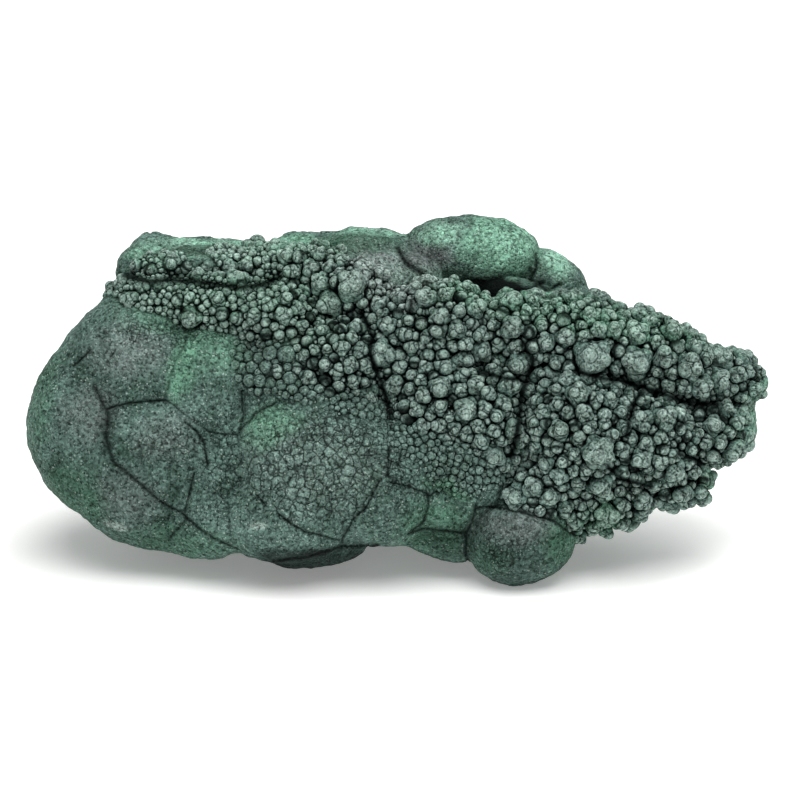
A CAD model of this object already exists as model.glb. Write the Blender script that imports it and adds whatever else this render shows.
import math
import random
import bpy
import bmesh
import numpy as np
from mathutils import Matrix, Vector, noise
from mathutils.bvhtree import BVHTree
from mathutils.kdtree import KDTree


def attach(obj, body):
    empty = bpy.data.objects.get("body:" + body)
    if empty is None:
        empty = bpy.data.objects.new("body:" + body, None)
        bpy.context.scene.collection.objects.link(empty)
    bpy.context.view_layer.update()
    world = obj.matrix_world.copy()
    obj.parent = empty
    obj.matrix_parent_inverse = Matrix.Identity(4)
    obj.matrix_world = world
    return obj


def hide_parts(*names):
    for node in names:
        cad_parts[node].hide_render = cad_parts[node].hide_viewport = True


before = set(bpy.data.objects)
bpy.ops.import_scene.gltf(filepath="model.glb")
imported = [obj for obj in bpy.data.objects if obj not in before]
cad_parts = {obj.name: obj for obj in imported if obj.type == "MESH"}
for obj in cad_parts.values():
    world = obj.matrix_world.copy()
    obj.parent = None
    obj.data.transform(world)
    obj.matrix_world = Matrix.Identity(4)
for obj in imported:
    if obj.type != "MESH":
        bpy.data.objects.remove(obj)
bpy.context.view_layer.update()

# Malachite specimen: velvety dark green lobes at one end and a crust of round beads at the
# other. Shapes are laid out on the specimen's leaning face as across, up and deep, in mm.
mm = 0.001

face = {
    "lean": 20.0,         # degrees the face leans back
    "seatDrop": 43.2,     # mm from the face's middle down to the floor
    "acrossShift": 0.4,   # mm that centre the footprint on the origin
    "depthShift": -22.7,
    "lobePower": 2.3,     # 2 gives eggs, more gives the fuller shape of crowded lobes
}

# name, middle (across, up, deep), radii, turn in degrees, surface
lobes = [
    ("leftCheek", (-66.0, -6.0, 23.0), (14.0, 17.5, 13.5), 0, "smooth"),
    ("leftShoulder", (-62.0, 12.0, 24.0), (17.0, 7.5, 10.5), 56, "smooth"),
    ("bottomLeft", (-55.0, -19.0, 21.0), (13.5, 12.5, 11.5), -6, "smooth"),
    ("leftMid", (-52.5, -12.0, 18.0), (13.5, 13.0, 11.0), 0, "smooth"),
    ("upperLeft", (-56.0, 8.0, 20.5), (13.5, 12.0, 11.0), 0, "smooth"),
    ("greenMid", (-41.0, 3.0, 20.0), (12.5, 14.0, 11.5), 0, "smooth"),
    ("bottomSmall", (-42.5, -27.5, 20.0), (10.0, 6.0, 7.5), 0, "smooth"),
    ("lowMid", (-39.5, -22.0, 15.0), (9.5, 10.0, 8.5), 0, "smooth"),
    ("frontLow", (-24.0, -25.0, 13.0), (13.5, 10.0, 10.0), 0, "smooth"),
    ("frontMain", (-17.5, -12.0, 14.5), (18.5, 17.0, 12.5), 0, "smooth"),
    ("rightLow", (-3.5, -21.5, 13.5), (11.0, 10.0, 10.5), 0, "smooth"),
    ("darkLow", (-18.0, -31.0, 20.0), (11.5, 5.0, 7.5), 6, "smooth"),
    ("lowRight", (10.5, -22.0, 14.5), (7.5, 7.5, 7.5), 0, "smooth"),
    ("darkRight", (10.5, -29.0, 20.0), (10.5, 5.5, 7.5), -8, "smooth"),
    ("ball", (26.0, -29.5, 17.0), (12.0, 10.0, 10.5), 14, "smooth"),
    ("midGrain", (3.0, -11.0, 15.0), (10.5, 11.0, 10.5), 0, "smooth"),
    ("midGrainRight", (15.0, -14.5, 14.5), (8.5, 10.5, 10.0), 0, "smooth"),
    ("midDark", (-24.0, 3.0, 18.0), (11.5, 13.0, 10.5), 0, "smooth"),
    ("midGap", (-37.0, -13.5, 18.0), (7.5, 8.5, 9.5), 0, "smooth"),
    ("bandLeft", (-53.5, 20.5, 24.0), (10.0, 7.0, 9.5), 0, "beads"),
    ("band", (-39.5, 20.0, 21.0), (13.5, 7.5, 9.0), 0, "beads"),
    ("ledgeLeft", (-47.0, 28.5, 27.0), (10.5, 3.0, 7.5), 0, "beads"),
    ("ledgeMid", (-34.5, 29.0, 26.0), (10.5, 4.0, 7.5), 0, "beads"),
    ("crest", (-20.5, 27.0, 23.0), (11.0, 6.5, 8.5), 0, "beads"),
    ("crestRight", (-10.5, 22.5, 20.0), (10.0, 7.5, 8.5), -20, "beads"),
    ("midTop", (-26.0, 17.0, 19.0), (10.5, 8.5, 9.5), 0, "beads"),
    ("midBead", (-13.0, 7.5, 16.5), (13.5, 10.0, 10.0), 0, "beads"),
    ("midBeadRight", (0.0, 9.5, 17.5), (10.5, 13.5, 10.0), 0, "beads"),
    ("crustTopLeft", (9.0, 15.0, 17.0), (12.5, 10.5, 10.5), -12, "beads"),
    ("crustMidLeft", (9.5, -1.0, 14.5), (13.5, 11.0, 10.5), 0, "beads"),
    ("crustTopMid", (24.5, 14.0, 17.0), (8.5, 9.0, 9.5), 0, "beads"),
    ("crustMid", (19.5, -4.5, 14.0), (9.5, 12.5, 10.5), 0, "beads"),
    ("crustTop", (38.5, 12.0, 17.0), (12.5, 10.5, 10.0), -10, "beads"),
    ("crustFront", (38.5, -6.5, 13.5), (13.0, 14.0, 10.5), 0, "beads"),
    ("crustTopRight", (55.0, 8.0, 20.0), (16.0, 9.0, 10.0), -27, "beads"),
    ("crustRight", (52.5, -8.5, 16.5), (11.5, 11.0, 10.5), 0, "beads"),
    ("crustFarRight", (64.0, -7.0, 21.5), (10.5, 7.5, 9.0), 0, "beads"),
    ("crustLowRight", (56.0, -16.0, 20.0), (11.0, 6.5, 8.5), -15, "beads"),
    ("crustLow", (43.0, -20.5, 19.0), (12.0, 8.0, 9.5), 12, "beads"),
    ("crustTip", (70.0, 5.5, 25.5), (8.5, 5.0, 8.0), -27, "beads"),
    ("crustLower", (30.0, -19.5, 15.5), (8.5, 7.5, 8.5), 0, "beads"),
    ("crustGap", (28.0, 0.0, 18.0), (6.5, 13.0, 9.5), 0, "beads"),
    ("crustTuft", (39.0, -26.5, 19.0), (4.0, 3.5, 4.0), 0, "beads"),
    ("topSwell", (-49.5, 28.0, 32.0), (11.0, 4.5, 9.5), 8, "ridge"),
    ("topStrip", (-37.5, 29.0, 32.0), (21.5, 3.5, 13.0), 0, "ridge"),
    ("ridgePeak", (-53.5, 32.0, 39.0), (3.5, 4.5, 4.5), 0, "ridge"),
    ("ridgeFoot", (-56.0, 28.5, 34.0), (4.0, 5.0, 6.0), 0, "ridge"),
    ("ridgeLeft", (-43.0, 30.5, 39.0), (13.5, 4.5, 6.5), -3, "ridge"),
    ("ridgeMid", (-29.5, 29.0, 38.0), (10.0, 4.5, 7.5), 0, "ridge"),
    ("ridgeRight", (-19.5, 31.0, 38.0), (10.0, 5.5, 7.5), 0, "ridge"),
    ("ridgeEnd", (-6.0, 32.0, 38.5), (9.0, 5.5, 6.5), 0, "ridge"),
    ("grooveLeft", (-10.5, 31.5, 32.0), (7.0, 4.5, 5.0), 10, "ridge"),
    ("grooveRight", (-2.5, 30.5, 32.0), (5.5, 4.5, 5.0), 0, "ridge"),
    ("saddle", (-6.0, 24.5, 26.5), (12.0, 7.5, 8.5), -25, "ridge"),
    ("saddleRight", (2.5, 25.0, 28.5), (7.5, 6.5, 7.5), -35, "ridge"),
    ("backBig", (16.5, 31.0, 37.0), (14.0, 9.0, 10.0), 3, "smooth"),
    ("backChip", (7.0, 31.0, 37.0), (7.5, 6.0, 9.0), 0, "smooth"),
    ("backRight", (31.5, 27.5, 37.5), (5.5, 5.0, 7.5), -50, "smooth"),
    ("backFarRight", (36.5, 23.5, 37.0), (5.5, 4.0, 6.5), -35, "smooth"),
    ("backDark", (30.0, 20.5, 30.0), (8.5, 4.0, 7.5), 0, "smooth"),
    ("backGap", (24.0, 21.5, 28.0), (8.0, 5.0, 7.0), 0, "smooth"),
    ("backLow", (44.0, 18.0, 29.5), (7.5, 4.0, 7.5), -20, "smooth"),
    ("endSlab", (61.0, 0.5, 29.5), (18.0, 8.5, 6.5), -28, "ridge"),
    ("endTip", (73.5, 4.5, 28.5), (6.0, 5.0, 4.5), -35, "ridge"),
    ("coreLeft", (-50.5, 0.0, 30.0), (21.5, 21.5, 13.0), 0, "smooth"),
    ("coreMid", (-13.0, 0.0, 28.0), (32.0, 26.0, 15.0), 0, "smooth"),
    ("coreRight", (30.0, 0.0, 27.0), (28.0, 20.5, 15.0), 0, "smooth"),
    ("coreFarRight", (51.5, -1.0, 28.0), (17.0, 15.0, 13.0), 0, "smooth"),
    ("sideLeft", (-58.5, -2.0, 33.0), (18.0, 18.0, 11.0), 0, "smooth"),
    ("underLeft", (-48.0, -14.0, 33.0), (18.0, 14.0, 12.0), 0, "smooth"),
    ("underMid", (-10.0, -19.0, 33.0), (38.0, 11.5, 14.0), 0, "smooth"),
    ("rearLeft", (-49.0, 1.0, 42.0), (23.0, 24.0, 16.0), 0, "smooth"),
    ("rearMid", (-12.0, 1.0, 42.0), (34.0, 27.0, 18.0), 0, "smooth"),
    ("rearRight", (25.0, 0.0, 41.0), (27.0, 20.0, 16.0), 0, "smooth"),
    ("rearFarRight", (47.0, -2.0, 37.0), (20.0, 13.0, 12.0), 0, "smooth"),
    ("rearTop", (-24.0, 20.0, 45.0), (34.0, 13.0, 16.0), 0, "smooth"),
    ("rearTopRight", (18.0, 17.0, 42.0), (21.0, 13.0, 13.0), 0, "smooth"),
    ("baseLeft", (-35.0, -19.5, 49.0), (20.0, 10.0, 19.0), 0, "smooth"),
    ("baseRight", (-2.0, -19.5, 50.0), (29.0, 10.0, 19.0), 0, "smooth"),
]

# bead clusters of the front, largest first: across, up, radius
clusters = [
    (41.0, 9.0, 4.3), (-10.5, 24.5, 3.7), (42.0, -11.0, 3.7), (50.5, 8.0, 3.7), (62.0, 7.0, 3.2),
    (14.0, -2.0, 3.0), (25.5, 8.0, 3.0), (50.5, 14.0, 3.0), (38.0, 1.0, 2.8), (42.5, -18.0, 2.8),
    (56.5, -4.0, 2.8), (71.5, -10.5, 2.8), (74.0, -0.5, 2.8), (-7.0, 1.0, 2.6), (-1.0, 3.0, 2.6),
    (8.5, 2.5, 2.6), (13.5, 8.5, 2.6), (23.0, 3.0, 2.6), (24.0, 15.5, 2.6), (51.5, -4.5, 2.6),
    (56.5, 9.0, 2.6), (58.5, -15.0, 2.6), (64.5, 3.0, 2.6), (8.5, 17.5, 2.4), (16.0, 19.5, 2.4),
    (16.0, 3.0, 2.4), (34.0, -6.5, 2.4), (35.5, 13.5, 2.4), (51.5, -12.5, 2.4), (51.5, -21.5, 2.4),
    (60.5, -20.0, 2.4), (67.0, -5.5, 2.4), (-49.0, 29.5, 2.1), (-36.5, 28.5, 2.1), (-24.5, 30.5, 2.1),
    (0.0, 21.5, 2.1), (8.0, 15.0, 2.1), (12.0, 15.0, 2.1), (24.0, -6.0, 2.1), (34.0, -16.0, 2.1),
    (40.5, 18.0, 2.1), (43.5, -20.0, 2.1), (45.5, 15.0, 2.1), (59.5, -3.0, 2.1), (72.5, 5.5, 2.1),
    (-39.0, 21.5, 1.9), (-34.5, 17.5, 1.9), (-33.5, 23.0, 1.9), (-33.0, 29.0, 1.9), (-17.5, 31.0, 1.9),
    (-16.5, 14.5, 1.9), (-13.5, 25.0, 1.9), (-12.5, 29.5, 1.9), (-12.5, 11.0, 1.9), (-8.5, 10.5, 1.9),
    (-7.5, 7.5, 1.9), (1.0, 14.0, 1.9), (8.5, -1.5, 1.9), (17.0, 14.0, 1.9), (28.5, -4.5, 1.9),
    (31.0, 3.0, 1.9), (33.5, 8.0, 1.9), (34.5, -18.0, 1.9), (36.0, 7.0, 1.9), (43.0, 4.0, 1.9),
    (44.5, 0.0, 1.9), (47.0, -10.5, 1.9), (47.5, -6.0, 1.9), (50.0, 2.5, 1.9), (50.5, -16.5, 1.9),
    (53.5, 16.5, 1.9), (54.0, 3.5, 1.9), (54.0, -18.0, 1.9), (57.5, 3.0, 1.9), (60.5, 3.0, 1.9),
    (62.5, -15.5, 1.9), (63.0, -7.5, 1.9), (65.5, -9.0, 1.9), (70.0, -0.5, 1.9), (72.0, -5.0, 1.9),
    (-53.5, 28.0, 1.7), (-41.5, 28.5, 1.7), (-38.0, 18.5, 1.7), (-26.0, 6.0, 1.7), (-22.0, 12.5, 1.7),
    (-21.5, 30.5, 1.7), (-10.0, 4.0, 1.7), (-8.0, 17.5, 1.7), (1.0, -1.5, 1.7), (2.5, 20.0, 1.7),
    (6.0, 9.5, 1.7), (8.5, 24.0, 1.7), (9.0, 9.5, 1.7), (11.5, -6.0, 1.7), (20.0, -6.5, 1.7),
    (22.0, 18.5, 1.7), (27.5, 14.5, 1.7), (33.5, -1.0, 1.7), (35.0, 17.0, 1.7), (43.5, -3.0, 1.7),
    (43.5, -5.0, 1.7), (46.5, 10.5, 1.7), (47.0, -2.5, 1.7), (52.0, -0.5, 1.7), (55.0, -21.5, 1.7),
    (55.5, -8.0, 1.7), (64.0, -3.5, 1.7), (64.5, -19.5, 1.7), (67.0, -11.5, 1.7), (74.5, 6.0, 1.7),
    (76.0, 2.5, 1.7), (-47.5, 21.5, 1.5), (-46.0, 28.5, 1.5), (-45.0, 22.0, 1.5), (-30.5, 29.5, 1.5),
    (-28.5, 14.0, 1.5), (-22.0, 6.5, 1.5), (-18.0, 10.5, 1.5), (-16.0, 4.0, 1.5), (-15.5, 10.5, 1.5),
    (-15.0, 1.5, 1.5), (-12.0, 17.0, 1.5), (4.5, 4.0, 1.5), (5.5, 13.5, 1.5), (20.0, 16.0, 1.5),
    (27.0, 19.0, 1.5), (29.0, -10.0, 1.5), (31.5, 19.0, 1.5), (33.5, -10.0, 1.5), (35.0, 19.0, 1.5),
    (37.0, -11.5, 1.5), (37.0, -15.0, 1.5), (45.5, 4.5, 1.5), (47.0, -19.5, 1.5), (53.0, -14.5, 1.5),
    (55.0, 6.0, 1.5), (56.0, -10.5, 1.5), (59.5, -6.0, 1.5), (62.0, -10.5, 1.5), (63.0, -12.5, 1.5),
    (67.0, -2.5, 1.5), (74.5, -8.0, 1.5), (77.5, 6.0, 1.5), (-0.5, 18.5, 1.3), (3.0, 8.0, 1.3),
    (18.5, 20.5, 1.3),
]


def linear(hexColour):
    # sRGB hex to the linear colour that shaders take
    channels = [int(hexColour[i:i + 2], 16) / 255 for i in (1, 3, 5)]
    return [c / 12.92 if c <= 0.04045 else ((c + 0.055) / 1.055) ** 2.4 for c in channels] + [1.0]


def addNode(tree, kind, settings=(), links=()):
    # one node; links gives each socket a value or the output that feeds it
    node = tree.nodes.new(kind)
    for name, value in dict(settings).items():
        setattr(node, name, value)
    for socket, source in dict(links).items():
        if isinstance(source, bpy.types.NodeSocket):
            tree.links.new(source, node.inputs[socket])
        else:
            node.inputs[socket].default_value = source
    return node


def toWorld(points):
    # face points in mm, one row each, to world points in metres
    points = np.asarray(points, dtype=float)
    leanCos = math.cos(math.radians(face["lean"]))
    leanSin = math.sin(math.radians(face["lean"]))
    across, up, deep = points[:, 0], points[:, 1], points[:, 2]
    return np.column_stack((
        across + face["acrossShift"],
        deep * leanCos + up * leanSin + face["depthShift"],
        up * leanCos - deep * leanSin + face["seatDrop"],
    )) * mm


def toFace(points):
    # the way back: world points in metres to face points in mm
    points = np.asarray(points, dtype=float) / mm
    leanCos = math.cos(math.radians(face["lean"]))
    leanSin = math.sin(math.radians(face["lean"]))
    back = points[:, 1] - face["depthShift"]
    high = points[:, 2] - face["seatDrop"]
    return np.column_stack((
        points[:, 0] - face["acrossShift"],
        back * leanSin + high * leanCos,
        back * leanCos - high * leanSin,
    ))


def turnToWorld(vectors):
    # directions on the face to directions in the world
    return (toWorld(vectors) - toWorld(np.zeros((1, 3)))) / mm


def inLobe(points, lobe):
    # points on a lobe's own turned axes, as shares of its radii
    _, middle, radii, turn, _ = lobe
    turnCos = math.cos(math.radians(turn))
    turnSin = math.sin(math.radians(turn))
    dx = points[:, 0] - middle[0]
    dy = points[:, 1] - middle[1]
    return (
        (dx * turnCos + dy * turnSin) / radii[0],
        (dy * turnCos - dx * turnSin) / radii[1],
        (points[:, 2] - middle[2]) / radii[2],
    )


def lobeDistance(points, lobe):
    # signed distance in mm from one lobe's surface, and the outward direction there
    _, _, radii, turn, _ = lobe
    power = face["lobePower"]
    u, v, w = inLobe(points, lobe)
    flat = np.sqrt(u * u + v * v) + 1e-6
    deep = np.abs(w) + 1e-6
    level = (flat ** power + deep ** power) ** (1 / power)
    scale = level ** (1 - power)
    slopeU = scale * flat ** (power - 2) * u / radii[0]
    slopeV = scale * flat ** (power - 2) * v / radii[1]
    slopeW = scale * deep ** (power - 1) * np.sign(w) / radii[2]
    slope = np.sqrt(slopeU ** 2 + slopeV ** 2 + slopeW ** 2)
    turnCos = math.cos(math.radians(turn))
    turnSin = math.sin(math.radians(turn))
    outward = np.column_stack((
        slopeU * turnCos - slopeV * turnSin,
        slopeU * turnSin + slopeV * turnCos,
        slopeW,
    )) / slope[:, None]
    return (level - 1) / slope, outward


def nearestLobes(points, count=3):
    # for each point the nearest lobes: which they are, how far and in which direction
    which = np.zeros((len(points), count), dtype=int)
    gaps = np.full((len(points), count), 1e9)
    outs = np.zeros((len(points), count, 3))
    for index, lobe in enumerate(lobes):
        # a lobe that is far from a point needs no exact distance
        _, middle, radii, _, _ = lobe
        away = np.abs(points - np.array(middle))
        reach = max(radii[:2])
        close = np.flatnonzero((away[:, 0] < reach + 6) & (away[:, 1] < reach + 6)
                               & (away[:, 2] < radii[2] + 6))
        if len(close) == 0:
            continue
        gap, out = lobeDistance(points[close], lobe)
        slot = count - 1
        better = gap < gaps[close, slot]
        rows, gap, out = close[better], gap[better], out[better]
        gaps[rows, slot] = gap
        outs[rows, slot] = out
        which[rows, slot] = index
        order = np.argsort(gaps[rows], axis=1, kind="stable")
        gaps[rows] = np.take_along_axis(gaps[rows], order, 1)
        which[rows] = np.take_along_axis(which[rows], order, 1)
        outs[rows] = np.take_along_axis(outs[rows], order[:, :, None], 1)
    return which, gaps, outs


def noiseAt(points, size, offset=0.0):
    # smooth noise from about -1 to 1; size is the width of its lumps in the points' units
    shifted = (points + offset) / size
    return np.array([noise.noise(p) for p in shifted.tolist()])


def vertexArray(mesh):
    places = np.empty(len(mesh.vertices) * 3, dtype=np.float32)
    mesh.vertices.foreach_get("co", places)
    return places.reshape(-1, 3).astype(float)


def setVertices(mesh, places):
    mesh.vertices.foreach_set("co", places.astype(np.float32).ravel())
    mesh.update()


def addAttribute(mesh, name, values):
    # one number, or one colour of four numbers, for each vertex
    values = np.asarray(values, dtype=np.float32)
    kind = "FLOAT" if values.ndim == 1 else "FLOAT_COLOR"
    field = "value" if values.ndim == 1 else "color"
    mesh.attributes.new(name, kind, "POINT").data.foreach_set(field, values.ravel())


def linkMesh(name, mesh):
    piece = bpy.data.objects.new(name, mesh)
    bpy.context.scene.collection.objects.link(piece)
    return piece


def bakeModifiers(piece):
    # plain mesh of what the modifiers give
    depsgraph = bpy.context.evaluated_depsgraph_get()
    baked = bpy.data.meshes.new_from_object(piece.evaluated_get(depsgraph))
    piece.modifiers.clear()
    old = piece.data
    piece.data = baked
    bpy.data.meshes.remove(old)


def dropObject(piece):
    mesh = piece.data
    bpy.data.objects.remove(piece, do_unlink=True)
    bpy.data.meshes.remove(mesh)


def triangleCount(mesh):
    return sum(len(p.vertices) - 2 for p in mesh.polygons)


mass = {
    "voxel": 0.34,        # mm, grid that fuses the lobes
    "blend": 3.0,         # mm over which two lobes run into each other
    "softBlend": 7.0,     # mm, where the seam between them is healed
    "ridgeBlend": 4.0,    # mm, along the broken ridge
    "sharpBlend": 0.8,    # mm, where one lobe only leans on another
    "crustBlend": 2.0,    # mm, under the beads
    "crackDepth": 0.60,   # mm
    "crackWidth": 0.26,   # mm
    "seamCracks": 0.35,   # how much the seams crack of themselves, beside the listed cracks
    "drift": 0.55,        # mm that seams wander
    "swell": 0.34,        # mm that lobes rise and fall, 5 mm lumps
    "pebble": 0.12,       # mm, 2 mm lumps
    "grain": 0.07,        # mm, 0.9 mm lumps
    "ridgeChip": 0.55,    # mm that the broken ridges step
    "sunk": (0.45, 1.25),   # mm that the ground lies under the beads' lobes, left and right
    "sunkAcross": (-16, 0),  # mm across, where the one goes over to the other
    "triangles": 194000,
    "keepShown": 1.5e-6,  # how much the smooth front is spared when faces are thinned out
    "backDepth": 50.0,    # mm from the face's middle to the broken back
    "backRelief": 1.3,    # mm
    "chipSize": 13.0,     # mm across one chip of the broken back
}

# seams between smooth lobes that are healed: 0 leaves no crack, 1 would be a full one
softSeams = {
    ("leftCheek", "leftMid"): 0.35,
    ("leftCheek", "bottomLeft"): 0.10,
    ("leftCheek", "upperLeft"): 0.30,
    ("leftShoulder", "upperLeft"): 0.10,
    ("leftShoulder", "leftCheek"): 0.0,
    ("leftShoulder", "sideLeft"): 0.0,
    ("leftCheek", "sideLeft"): 0.0,
    ("leftCheek", "rearLeft"): 0.0,
    ("sideLeft", "rearLeft"): 0.0,
    ("upperLeft", "greenMid"): 0.12,
    ("bottomLeft", "leftMid"): 0.80,
    ("bottomLeft", "bottomSmall"): 0.25,
    ("lowMid", "bottomSmall"): 0.30,
    ("lowMid", "frontLow"): 0.35,
    ("frontLow", "frontMain"): 0.10,
    ("midGap", "leftMid"): 0.60,
    ("midGap", "frontMain"): 0.15,
    ("midGap", "greenMid"): 0.30,
    ("midGap", "lowMid"): 0.15,
    ("frontMain", "rightLow"): 0.55,
    ("frontMain", "midGrain"): 0.35,
    ("midGrain", "rightLow"): 0.30,
    ("midGrain", "midGrainRight"): 0.30,
    ("greenMid", "midDark"): 0.60,
    ("midDark", "frontMain"): 0.70,
    ("backBig", "backChip"): 0.05,
    ("backRight", "backFarRight"): 0.2,
}


# cracks across the front: strength, half width in mm, then the points (across, up) it follows
cracks = [
    (1.0, 0.26, ((-62.5, -2.0), (-60.0, -1.1), (-54.8, -0.2), (-50.0, 0.2))),
    (0.55, 0.20, ((-50.0, 0.2), (-46.5, -2.6), (-40.8, -6.7), (-35.0, -7.5))),
    (1.0, 0.28, ((-45.8, -4.7), (-43.4, -6.7), (-41.7, -9.2), (-41.0, -13.7))),
    (0.55, 0.45, ((-65.3, 2.8), (-63.8, -0.4), (-62.3, -2.6), (-62.9, -7.1), (-62.3, -10.3),
                  (-61.0, -13.3), (-56.5, -17.0), (-51.5, -21.5))),
    (0.9, 0.30, ((-51.5, -21.5), (-47.0, -23.8), (-45.6, -25.2))),
    (0.9, 0.24, ((-46.0, -23.8), (-44.5, -18.9), (-43.8, -15.3))),
    (0.6, 0.30, ((-45.8, -25.2), (-42.5, -27.7), (-38.5, -30.1), (-34.8, -31.8))),
    (0.5, 0.28, ((-46.2, -25.5), (-49.8, -30.1))),
    (0.8, 0.24, ((-34.0, 9.7), (-33.7, 2.8), (-33.5, -3.0), (-34.4, -7.1))),
    (0.35, 0.28, ((-45.3, 14.0), (-48.3, 7.3), (-50.0, 1.1))),
    (0.7, 0.26, ((-34.4, -6.7), (-31.0, -3.0), (-26.0, 0.0), (-21.9, 1.1), (-17.8, 1.5))),
    (0.35, 0.22, ((-36.5, -21.5), (-36.3, -28.8))),
    (0.75, 0.24, ((-30.5, -20.2), (-28.6, -22.8))),
    (0.9, 0.24, ((-1.9, -5.2), (-2.6, -9.2), (-2.6, -12.9), (-2.8, -16.3))),
    (0.7, 0.26, ((-2.8, -17.4), (1.9, -18.3), (6.0, -20.0))),
    (1.0, 0.30, ((6.0, -20.0), (6.0, -22.3), (4.7, -26.2), (2.1, -28.6))),
    (0.7, 0.26, ((-4.3, -17.0), (-6.0, -20.4), (-7.5, -23.2), (-10.1, -25.3), (-12.5, -30.7))),
    (0.8, 0.24, ((11.0, -11.8), (10.1, -15.0), (9.2, -18.7), (6.4, -20.4))),
    (1.0, 0.34, ((16.1, -22.3), (15.3, -26.2), (14.2, -28.6), (14.2, -32.7), (14.6, -34.8))),
    (0.6, 0.34, ((16.1, -22.8), (20.8, -23.0), (25.8, -23.8), (33.3, -26.0), (37.4, -29.2))),
    (0.9, 0.36, ((-27.3, -34.4), (-20.0, -33.5), (-12.5, -31.4), (-4.7, -31.1))),
    (0.6, 0.30, ((2.1, -28.6), (5.2, -27.3), (8.6, -27.9), (14.2, -28.4))),
    (1.0, 0.60, ((-0.6, 32.7), (1.5, 29.5), (5.8, 26.2), (10.0, 24.8), (15.7, 23.6), (19.8, 22.0),
                 (27.9, 24.0), (31.0, 25.5))),
    (0.9, 0.40, ((29.6, 31.8), (29.4, 28.4), (28.1, 26.2), (31.8, 23.6), (34.4, 25.1))),
    (0.7, 0.26, ((-26.2, -24.1), (-23.0, -26.2), (-20.0, -28.1), (-12.9, -29.9))),
    (0.7, 0.30, ((-70.0, 7.3), (-67.9, 9.2), (-66.2, 10.7))),
    (0.5, 0.24, ((-60.8, 10.7), (-61.6, 9.2))),
    (0.3, 0.40, ((-61.0, 17.6), (-63.2, 12.7), (-63.8, 11.4))),
]


# lobes that only lean on each other, with a deep gap between them
sharpSeams = [
    ("saddle", "backBig"), ("saddle", "backChip"), ("saddleRight", "backBig"),
    ("saddleRight", "backChip"), ("backBig", "backGap"), ("backBig", "backDark"),
    ("backRight", "backDark"), ("backBig", "backRight"), ("ball", "midGrainRight"),
    ("ball", "lowRight"), ("ball", "darkRight"), ("grooveRight", "backChip"),
]


def seamTables():
    # how cracked and how blended each pair of lobes is
    crack = np.ones((len(lobes), len(lobes)))
    blend = np.full((len(lobes), len(lobes)), mass["blend"])
    names = [lobe[0] for lobe in lobes]
    surfaces = np.array([lobe[4] for lobe in lobes])
    for (one, two), strength in softSeams.items():
        for pair in ((names.index(one), names.index(two)), (names.index(two), names.index(one))):
            crack[pair] = strength
            blend[pair] += (mass["softBlend"] - mass["blend"]) * (1 - strength)
    for one, two in sharpSeams:
        for pair in ((names.index(one), names.index(two)), (names.index(two), names.index(one))):
            blend[pair] = mass["sharpBlend"]
    ridge = surfaces == "ridge"
    beads = surfaces == "beads"
    crack[np.ix_(ridge, ridge)] = 0.0
    blend[np.ix_(ridge, ridge)] = mass["ridgeBlend"]
    crack[beads] = 0.0
    crack[:, beads] = 0.0
    blend[beads] = mass["crustBlend"]
    blend[:, beads] = mass["crustBlend"]
    return crack, blend


crackTable, blendTable = seamTables()


def blendedLobes(points):
    # the lobes run together: distance, outward direction, crack strength and distance, share of
    # each surface
    which, gaps, outs = nearestLobes(points)
    spare = np.exp(-(gaps - gaps[:, :1]) / 1.0)
    crack = np.zeros(len(points))
    blend = np.zeros(len(points))
    total = np.zeros(len(points))
    for one, two in ((0, 1), (0, 2), (1, 2)):
        weight = spare[:, one] * spare[:, two] + 1e-9
        crack += weight * crackTable[which[:, one], which[:, two]]
        blend += weight * blendTable[which[:, one], which[:, two]]
        total += weight
    crack /= total
    sharp = 4 * math.log(2) / (blend / total)
    share = np.exp(-sharp[:, None] * (gaps - gaps[:, :1]))
    level = gaps[:, 0] - np.log(share.sum(axis=1)) / sharp
    share /= share.sum(axis=1)[:, None]
    outward = (outs * share[:, :, None]).sum(axis=1)
    outward /= np.linalg.norm(outward, axis=1)[:, None]
    spread = np.linalg.norm(outs[:, 0] - outs[:, 1], axis=1) + 0.05
    fromCrack = (gaps[:, 1] - gaps[:, 0]) / spread
    surfaces = np.array([("smooth", "beads", "ridge").index(lobe[4]) for lobe in lobes])
    near = np.exp(-(gaps - gaps[:, :1]) / 0.5)
    near /= near.sum(axis=1)[:, None]
    beaded = (near * (surfaces[which] == 1)).sum(axis=1)
    ridged = (near * (surfaces[which] == 2)).sum(axis=1)
    return level, outward, crack, fromCrack, beaded, ridged


def fromRoute(flat, route):
    # mm from points (across, up) to a route of such points
    nearest = np.full(len(flat), 1e9)
    for start, end in zip(np.array(route[:-1]), np.array(route[1:])):
        along = ((flat - start) @ (end - start)) / ((end - start) ** 2).sum()
        foot = start + np.clip(along, 0, 1)[:, None] * (end - start)
        nearest = np.minimum(nearest, np.hypot(*(flat - foot).T))
    return nearest


def crackAt(points):
    # how strongly the listed cracks press in and darken the front at face points
    pressed = np.zeros(len(points))
    dark = np.zeros(len(points))
    flat = points[:, :2] + driftAt(points)[:, :2] * 0.6
    front = np.clip((40.0 - points[:, 2]) / 3.0, 0, 1)
    for strength, halfWidth, route in cracks:
        off = fromRoute(flat, route) / halfWidth
        pressed = np.maximum(pressed, strength * np.exp(-off ** 2))
        pressed = np.maximum(pressed, 0.4 * strength * np.exp(-(off / 3) ** 2))
        dark = np.maximum(dark, min(1, 1.6 * strength) * np.exp(-(off / 1.2) ** 2))
    return pressed * front, dark * front


def sunkAt(points):
    # mm that the ground lies under the lobes where beads grow
    left, right = mass["sunkAcross"]
    share = np.clip((points[:, 0] - left) / (right - left), 0, 1)
    shallow, deep = mass["sunk"]
    return shallow + (deep - shallow) * share


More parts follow.
